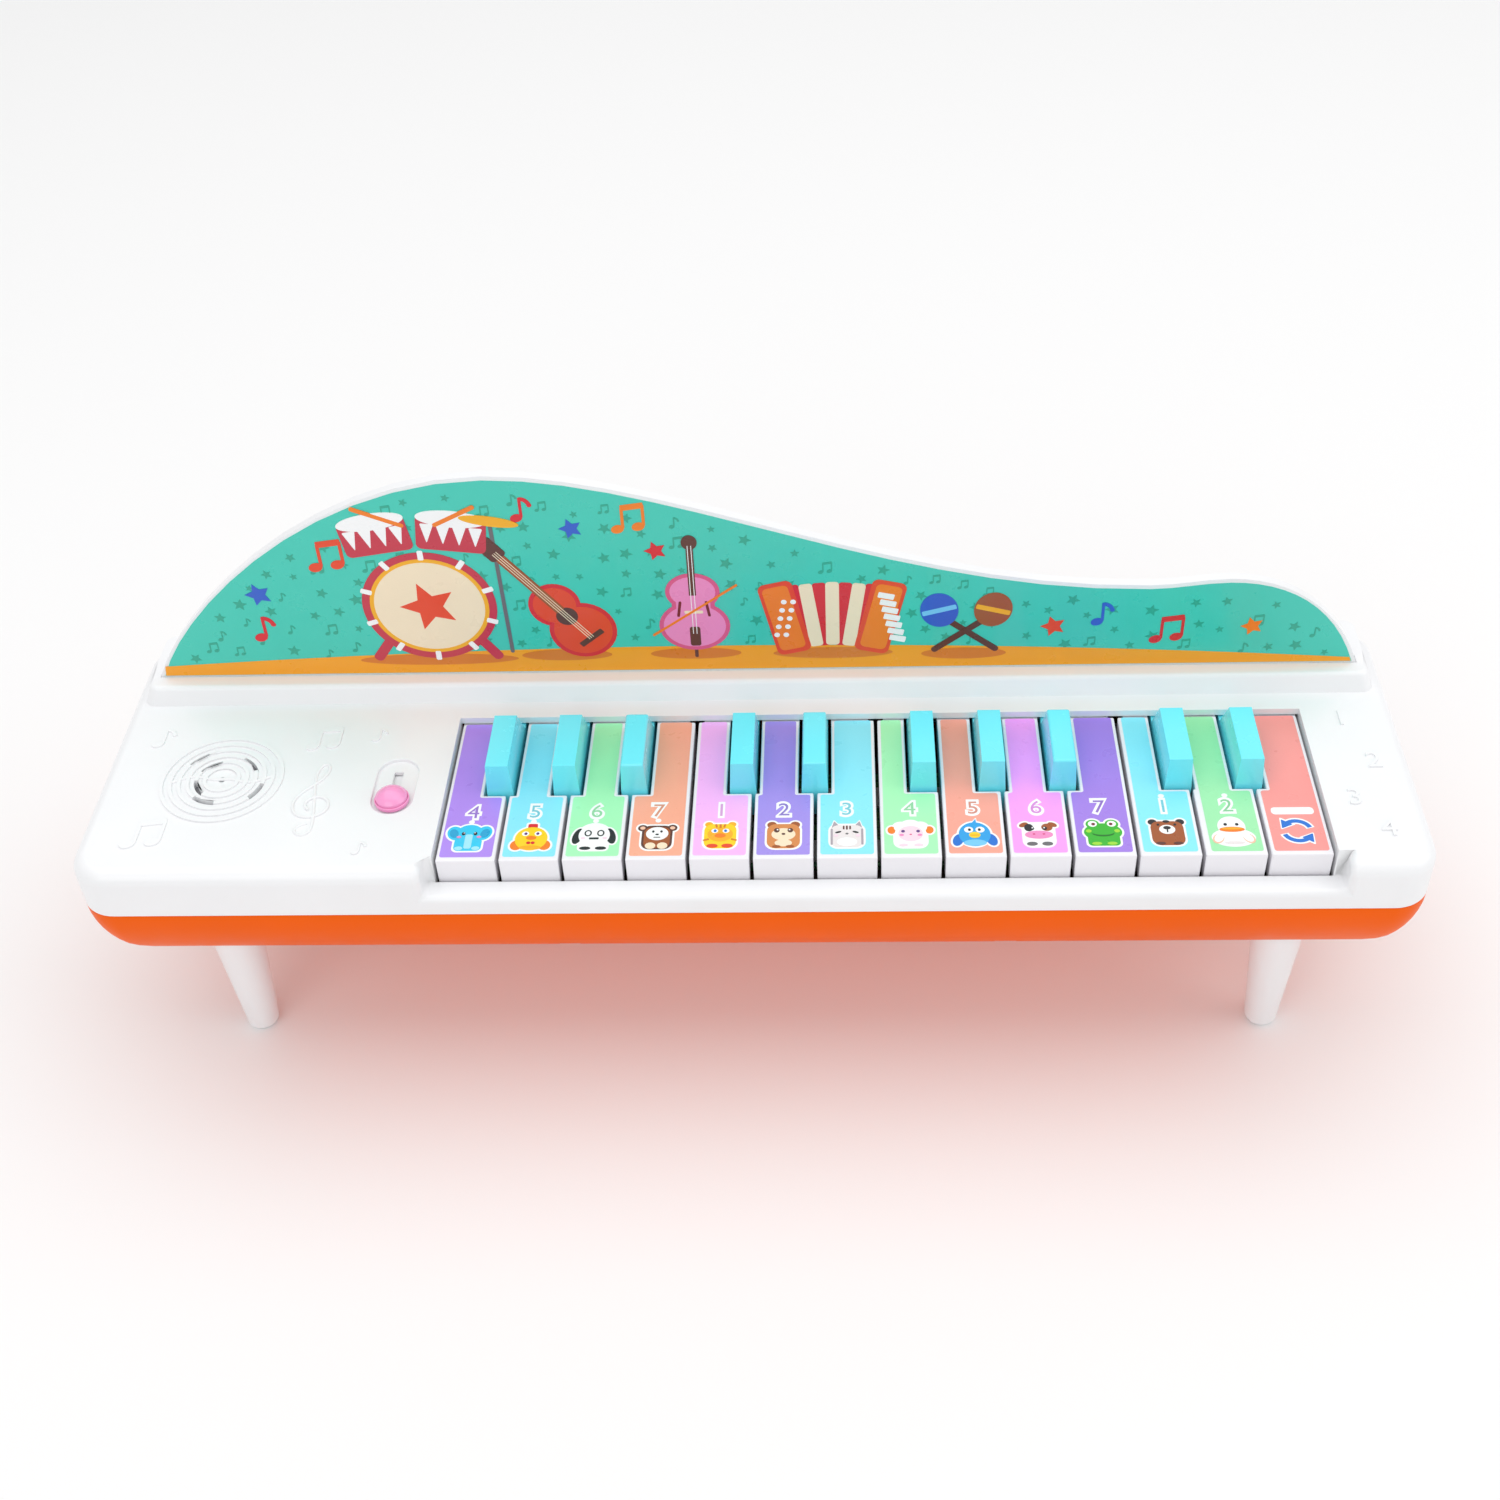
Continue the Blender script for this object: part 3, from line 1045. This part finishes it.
def turnArrows(sheet, x, y):
    # two arrows chasing each other, and the blank name plate above them
    ring, halfWide, sweep = 3.7, 0.65, 112
    for grow, ink, level in ((0.5, "white", 1), (0.0, "cobalt", 2)):
        for start in (20, 200):
            band = arcBand(0, 0, ring - halfWide - grow, ring + halfWide + grow, -grow * 8, sweep + grow * 8)
            layOn(sheet, placed(band, x, y, start), inks[ink], level)
            end = math.radians(start + sweep + 12)
            tip = peak(x + ring * math.cos(end), y + ring * math.sin(end), 1.75 + grow * 1.4, 1.5 + grow,
                       start + sweep + 14)
            layOn(sheet, tip, inks[ink], level)
    layOn(sheet, card(x, y + 7.6, 5.6, 1.35, 0, 0.8), inks["white"], 2)


def makeStickers():
    for node, spec in zip(whiteNames, stickers):
        keyLow, keyHigh = cornersOf(node)
        x, y = (keyLow.x + keyHigh.x) / 2, stickerLook["headY"]
        sheet = newSheet()
        paper = shadeOf(tint(*spec["paper"]), 1.2)
        layOn(sheet, outline(keyOutline(node), stickerLook["corner"], 4), paper, 0)
        if spec["head"]:
            body, face = heads[spec["head"]]
            drawRows(sheet, body, x, y, 1, stickerLook["rim"], "white")
            drawRows(sheet, body, x, y, 2)
            drawRows(sheet, face, x, y, 2 + len(body))
            labelY = stickerLook["labelY"]
            high, rim = stickerLook["labelHigh"], stickerLook["labelRim"]
            layOn(sheet, digit(spec["label"], x, labelY, high, rim), inks["white"], 2)
            layOn(sheet, digit(spec["label"], x, labelY, high - 0.6, 0.0), shadeOf(paper, 0.72), 3)
            if spec["dot"]:
                layOn(sheet, disc(x, labelY + spec["dot"] * 3.9, 0.8, 0.75), inks["white"], 2)
        else:
            turnArrows(sheet, x, y)
        bmesh.ops.translate(sheet, verts=sheet.verts, vec=(0, 0, keyTop * mm))
        name = node.replace("white_key", "keySticker")
        addPiece(name, sheet, node, "printedFilm", smooth=False)


makeStickers()
print("stickers made")

# ---------- picture on the backboard

boardPicture = {
    "sky": "teal",
    "pattern": {"ink": "deepTeal", "count": 210, "space": 6.2},
    "ground": {"ink": "amber", "crest": 95.0, "at": -14.0, "drop": 4.9, "reach": 152.0},
    "shadows": [(-89, 92.0, 23), (-52, 93.0, 13), (-15, 93.0, 13), (24, 92.6, 17), (61, 91.8, 12)],
    "notes": [(-115.4, 128.1, 10.5, True, "vermilion"), (-135.9, 103.6, 10, False, "red"),
              (-58.1, 143.0, 9, False, "red"), (-30.8, 139.0, 9.5, True, "orange"),
              (100.6, 104.8, 9, False, "marine"), (117.5, 98.5, 9.5, True, "red")],
    "stars": [(-136.8, 115.4, 3.9, "marine"), (-46.6, 136.2, 3.3, "marine"), (-24.1, 128.4, 3.2, "red"),
              (85.7, 100.4, 3.6, "vermilion"), (140.9, 99.5, 3.2, "orange")],
}


def drawDrums(sheet, level):
    x, z = -89.0, 110.5
    for side in (-1, 1):
        layOn(sheet, bar(x + side * 13, z - 12, x + side * 18, z - 19, 3), inks["crimson"], level)
    layOn(sheet, disc(x, z, 19, 18.6, 0, 56), inks["crimson"], level + 1)
    layOn(sheet, disc(x, z, 16.8, 16.4, 0, 56), inks["gold"], level + 2)
    layOn(sheet, disc(x, z, 15.6, 15.2, 0, 56), inks["cream"], level + 3)
    layOn(sheet, star(x, z, 8.5, 90), inks["vermilion"], level + 4)
    for k in range(10):
        turn = math.radians(36 * k + 18)
        lug = card(x + 18 * math.cos(turn), z + 17.6 * math.sin(turn), 1.6, 0.8, 36 * k + 18)
        layOn(sheet, lug, inks["white"], level + 4)
    for dx, dz, tilt in ((-11.5, 24.0, 9), (9.5, 24.5, -7)):
        layOn(sheet, card(x + dx, z + dz, 9.6, 5.6, tilt, 0.3), inks["crimson"], level + 5)
        for k in range(4):
            lean = (k - 1.5) * 0.6 * (1 if tilt > 0 else -1)
            tooth = peak(x + dx - 6.6 + 4.4 * k, z + dz - 0.4 + lean, 1.9, 3.2, 180 + tilt)
            layOn(sheet, tooth, inks["white"], level + 6)
        layOn(sheet, disc(x + dx - 0.08 * tilt, z + dz + 5.0, 9.6, 2.7, tilt), inks["white"], level + 7)
    layOn(sheet, bar(x + 21.5, z - 17, x + 20.5, z + 28, 1.1), inks["smoke"], level)
    layOn(sheet, disc(x + 20.3, z + 28.6, 8.2, 1.6, -10), inks["gold"], level + 8)
    for x0, x1 in ((-17, -3), (17, 5)):
        layOn(sheet, bar(x + x0, z + 33.5, x + x1, z + 27.5, 1.3), inks["orange"], level + 9)


def drawGuitar(sheet, level):
    axis = 129  # degrees, from the body up the neck
    ux, uz = math.cos(math.radians(axis)), math.sin(math.radians(axis))

    def along(distance):
        return -46.5 + ux * distance, 101.3 + uz * distance

    for grow, ink, step in ((0.0, "red", 0), (-1.3, "vermilion", 1)):
        layOn(sheet, disc(*along(0), 9.6 + grow, 9.6 + grow), inks[ink], level + step)
        layOn(sheet, disc(*along(11.5), 7.4 + grow, 7.4 + grow), inks[ink], level + step)
    layOn(sheet, disc(*along(6.5), 3.1, 3.1), inks["bark"], level + 2)
    layOn(sheet, card(*along(-3.5), 0.9, 4.2, axis, 0.4), inks["bark"], level + 2)
    layOn(sheet, bar(*along(9), *along(34), 3.0, 0.2), inks["brown"], level + 3)
    layOn(sheet, card(*along(36.5), 3.8, 2.6, axis, 0.4), inks["bark"], level + 4)
    for k in (-0.7, 0.0, 0.7):
        x0, z0 = along(-3.5)
        x1, z1 = along(35)
        layOn(sheet, bar(x0 - uz * k, z0 + ux * k, x1 - uz * k, z1 + ux * k, 0.22), inks["cream"], level + 5)


def drawCello(sheet, level):
    x = -14.8
    layOn(sheet, bar(x, 91.0, x, 95.0, 1.0), inks["bark"], level)
    for grow, ink, step in ((0.0, "rose", 0), (-1.2, "pink", 1)):
        layOn(sheet, disc(x, 102.3, 10.0 + grow, 8.6 + grow), inks[ink], level + step)
        layOn(sheet, disc(x, 114.2, 7.6 + grow, 6.4 + grow), inks[ink], level + step)
        layOn(sheet, card(x, 108.6, 6.0 + grow, 5.0, 0, 0.4), inks[ink], level + step)
    for side in (-1, 1):
        layOn(sheet, bar(x + side * 4.4, 105.6, x + side * 3.6, 111.0, 0.8), inks["maroon"], level + 2)
    layOn(sheet, card(x, 98.6, 1.5, 3.4, 0, 0.5), inks["bark"], level + 2)
    layOn(sheet, bar(x, 113.0, x, 129.5, 2.0, 0.2), inks["bark"], level + 3)
    layOn(sheet, disc(x, 131.0, 2.2, 2.4), inks["bark"], level + 3)
    layOn(sheet, card(x, 107.2, 2.6, 0.5), inks["cream"], level + 3)
    for k in (-0.5, 0.5):
        layOn(sheet, bar(x + k, 99.5, x + k, 130.0, 0.2), inks["white"], level + 4)
    layOn(sheet, bar(x - 12.0, 99.0, x + 12.5, 116.5, 0.7), inks["orange"], level + 5)


def drawAccordion(sheet, level):
    x, z = 24.0, 105.5
    for k in range(7):
        lean = (k - 3) * -4.0
        layOn(sheet, card(x + (k - 3) * 3.0, z + 0.4 - abs(k - 3) * 0.25, 1.9, 11.0, lean, 0.5),
              inks["cream" if k % 2 else "red"], level + k % 2)
    for side in (-1, 1):
        layOn(sheet, card(x + side * 13.4, z - 1.0, 4.9, 12.6, side * -13, 0.4), inks["vermilion"], level + 2)
        layOn(sheet, card(x + side * 13.6, z - 1.0, 3.7, 11.2, side * -13, 0.4), inks["orange"], level + 3)
    for k in range(7):
        keyTab = card(x + 16.6 - (k - 3) * 0.55, z - 8.6 + 2.5 * k, 2.3, 0.95, -13 + 180, 0.3)
        layOn(sheet, keyTab, inks["white"], level + 4)
    for k in range(10):
        across, up = k % 2, k // 2
        button = disc(x - 14.6 + across * 2.6 + (up - 2) * 0.55, z - 6.8 + 2.9 * up, 0.8, 0.8)
        layOn(sheet, button, inks["white"], level + 4)


def drawMaracas(sheet, level):
    for x0, x1, ink, stripe in ((70.5, 55.0, "marine", "azure"), (52.0, 67.5, "brown", "gold")):
        layOn(sheet, bar(x0, 92.2, x1, 104.0, 1.9), inks["bark"], level)
        middle, tilt = x1 - (x0 - x1) * 0.08, 15 if x0 > x1 else -15
        layOn(sheet, disc(middle, 106.6, 5.3, 5.9, tilt), inks[ink], level + 1)
        layOn(sheet, card(middle, 106.6, 4.9, 0.8, tilt, 0.5), inks[stripe], level + 2)
        level += 3


def makeBoardPicture():
    sheet = newSheet()
    back = bmesh.new()
    back.from_mesh(nodes["board_print"].data)
    bmesh.ops.remove_doubles(back, verts=back.verts, dist=2e-6)
    bmesh.ops.dissolve_limit(back, angle_limit=math.radians(0.5), verts=back.verts, edges=back.edges)
    rim = sorted({(round(v.co.x / mm, 3), round(v.co.z / mm, 3)) for v in back.verts})
    layer = back.loops.layers.float_color.new("printColour")
    for face in back.faces:
        for loop in face.loops:
            loop[layer] = inks[boardPicture["sky"]]
    # the films are drawn lying down on the print's face, then stood up with it
    bmesh.ops.transform(back, matrix=upright.inverted(), verts=back.verts)
    scrap = bpy.data.meshes.new("scrap")
    back.to_mesh(scrap)
    back.free()
    drawn = newSheet()

    def topAt(x):
        low = max((p for p in rim if p[0] <= x and p[1] > printLow.z + 0.1), default=rim[0])
        high = min((p for p in rim if p[0] > x and p[1] > printLow.z + 0.1), default=rim[-1])
        share = (x - low[0]) / max(high[0] - low[0], 0.001)
        return low[1] + share * (high[1] - low[1])

    ground = boardPicture["ground"]

    def hillAt(x):
        return ground["crest"] - ground["drop"] * ((x - ground["at"]) / ground["reach"]) ** 2

    pattern = boardPicture["pattern"]
    spots = []
    tries = 0
    while len(spots) < pattern["count"] and tries < 6000:
        tries += 1
        x = random.uniform(printLow.x + 3, printHigh.x - 3)
        z = random.uniform(printLow.z + 2, printHigh.z - 2)
        clear = all(math.hypot(x - a, z - b) > pattern["space"] for a, b in spots)
        if clear and z < min(topAt(x - 2.4), topAt(x + 2.4)) - 3 and z > hillAt(x) + 1:
            spots.append((x, z))
    for k, (x, z) in enumerate(spots):
        ink = inks[pattern["ink"]]
        if k % 3 == 2:
            for shape in noteShapes(x, z, random.uniform(3.0, 4.2), k % 2 == 0):
                layOn(drawn, shape, ink, 1)
        else:
            layOn(drawn, star(x, z, random.uniform(1.1, 2.1), random.uniform(0, 72)), ink, 1)
    # ground strip: along the bottom, then back over the hill
    floorZ = printLow.z + 0.15
    edge = next(x / 10 for x in range(int(printHigh.x * 10), 0, -1) if topAt(x / 10) > hillAt(x / 10) + 0.3)
    count = 24
    hill = [(edge - 2 * edge * k / count, hillAt(edge - 2 * edge * k / count)) for k in range(count + 1)]
    foot = [(printLow.x + 0.3, floorZ), (printHigh.x - 0.3, floorZ)]
    layOn(drawn, outline(foot + hill), inks[ground["ink"]], 3)
    for x, z, reach in boardPicture["shadows"]:
        layOn(drawn, disc(x, z - 0.6, reach, 2.0), inks["burnt"], 4)
    for x, z, size, paired, ink in boardPicture["notes"]:
        for shape in noteShapes(x, z, size, paired):
            layOn(drawn, shape, inks[ink], 5)
    for x, z, radius, ink in boardPicture["stars"]:
        layOn(drawn, star(x, z, radius, 90, 0.5), inks[ink], 5)
    for draw in (drawDrums, drawGuitar, drawCello, drawAccordion, drawMaracas):
        draw(drawn, 6)
    bmesh.ops.translate(drawn, verts=drawn.verts, vec=(0, 0, -printLow.y * mm))
    films = bpy.data.meshes.new("films")
    drawn.to_mesh(films)
    drawn.free()
    for mesh in (scrap, films):
        sheet.from_mesh(mesh)
        bpy.data.meshes.remove(mesh)
    bmesh.ops.transform(sheet, matrix=upright, verts=sheet.verts)
    addPiece("boardPicture", sheet, "case", "printedFilm", ["board_print"], smooth=False)


makeBoardPicture()
print("board picture made")

# ---------- raised marks moulded on the deck

relief = {
    "high": 0.5,
    "numbers": [("1", 164.5, 8.5), ("2", 170.0, -8.9), ("3", 162.0, -23.4), ("4", 168.5, -35.3)],
    "numberHigh": 6.4,
    "notes": [(-164.8, 5.6, 9, False), (-162.0, -34.0, 11, True), (-119.8, 4.0, 9.5, True),
              (-103.3, 5.8, 6, False), (-101.3, -39.6, 5.5, False)],
    "clef": [(0.4, -6.6), (-1.7, -7.4), (-1.6, -9.3), (0.3, -9.9), (1.7, -8.4), (1.1, -4.0), (0.2, 2.0),
             (-0.5, 6.0), (0.2, 8.9), (1.6, 9.4), (2.1, 7.2), (0.9, 4.4), (-2.2, 1.8), (-3.6, -1.4),
             (-2.5, -4.6), (0.6, -5.4), (3.4, -3.8), (3.6, -1.0), (1.6, 0.7), (-0.8, -0.2), (-1.2, -2.2),
             (0.0, -3.2)],
    "clefAt": (-118.8, -20.2),
    "clefScale": 1.5,
    "grilleRidge": [(-14.6, -1.6), (-10.5, 1.2), (-6.0, 1.4), (-2.4, -0.6), (2.4, 0.6), (6.0, -1.4),
                    (10.5, -1.2), (14.6, 1.6)],
}


def raiseMark(bm, shape, high, width=0.16):
    shape.normal_update()
    bmesh.ops.reverse_faces(shape, faces=[f for f in shape.faces if f.normal.z < 0])
    grown = bmesh.ops.extrude_face_region(shape, geom=shape.faces[:])["geom"]
    top = [g for g in grown if isinstance(g, bmesh.types.BMVert)]
    bmesh.ops.translate(shape, verts=top, vec=(0, 0, high * mm))
    topSet = set(top)
    rim = [e for e in shape.edges
           if all(v in topSet for v in e.verts) and e.calc_face_angle(0) > math.radians(40)]
    if width:
        bmesh.ops.bevel(shape, geom=rim, offset=width * mm, offset_type="OFFSET", segments=2, profile=0.5,
                        affect="EDGES", clamp_overlap=True, material=-1)
    pourInto(bm, shape)


def raiseLine(bm, points, at, scale, thick):
    # a rounded ridge along a smooth line, half sunk in the deck
    curve = bpy.data.curves.new("ridge", "CURVE")
    curve.dimensions = "3D"
    curve.bevel_depth = thick / 2 * mm
    curve.bevel_resolution = 3
    curve.use_fill_caps = True
    curve.resolution_u = 6
    line = curve.splines.new("NURBS")
    line.points.add(len(points) - 1)
    for k, (point, (x, y)) in enumerate(zip(line.points, points)):
        point.co = ((at[0] + x * scale) * mm, (at[1] + y * scale) * mm, 0.012 * k * mm, 1)
    line.use_endpoint_u = True
    line.order_u = 4
    holder = bpy.data.objects.new("ridge", curve)
    bpy.context.scene.collection.objects.link(holder)
    bpy.context.view_layer.update()
    mesh = bpy.data.meshes.new_from_object(holder.evaluated_get(bpy.context.evaluated_depsgraph_get()))
    bpy.data.objects.remove(holder)
    bpy.data.curves.remove(curve)
    bm.from_mesh(mesh)
    bpy.data.meshes.remove(mesh)


def makeRelief():
    bm = bmesh.new()
    for text, x, y in relief["numbers"]:
        raiseMark(bm, digit(text, x, y, relief["numberHigh"], 0.0), relief["high"], 0)
    for x, y, size, paired in relief["notes"]:
        for k, shape in enumerate(noteShapes(x, y, size, paired)):
            raiseMark(bm, shape, relief["high"] - 0.02 * k)
    raiseLine(bm, relief["clef"], relief["clefAt"], relief["clefScale"], 0.9)
    middle = (speakerLow + speakerHigh) / 2
    raiseLine(bm, relief["grilleRidge"], (middle.x, middle.y), 1.0, 1.0)
    bmesh.ops.translate(bm, verts=bm.verts, vec=(0, 0, (deckTop - 0.02) * mm))
    addPiece("deckRelief", bm, "case", "caseWhite")


dustLook = {"radius": 13.5, "thick": 0.35, "below": 0.06}


def makeDustCloth():
    # woven disc glued under the grille
    middle = (speakerLow + speakerHigh) / 2
    top = roofZ - dustLook["below"]
    profile = [(0, top - dustLook["thick"]), (dustLook["radius"] - 0.1, top - dustLook["thick"]),
               (dustLook["radius"], top - dustLook["thick"] / 2), (dustLook["radius"] - 0.1, top), (0, top)]
    bm = bmesh.new()
    spunProfile(bm, profile, middle, 64)
    addPiece("dustCloth", bm, "case", "dustCloth")


makeRelief()
makeDustCloth()
print("deck relief made")

print("all pieces made")
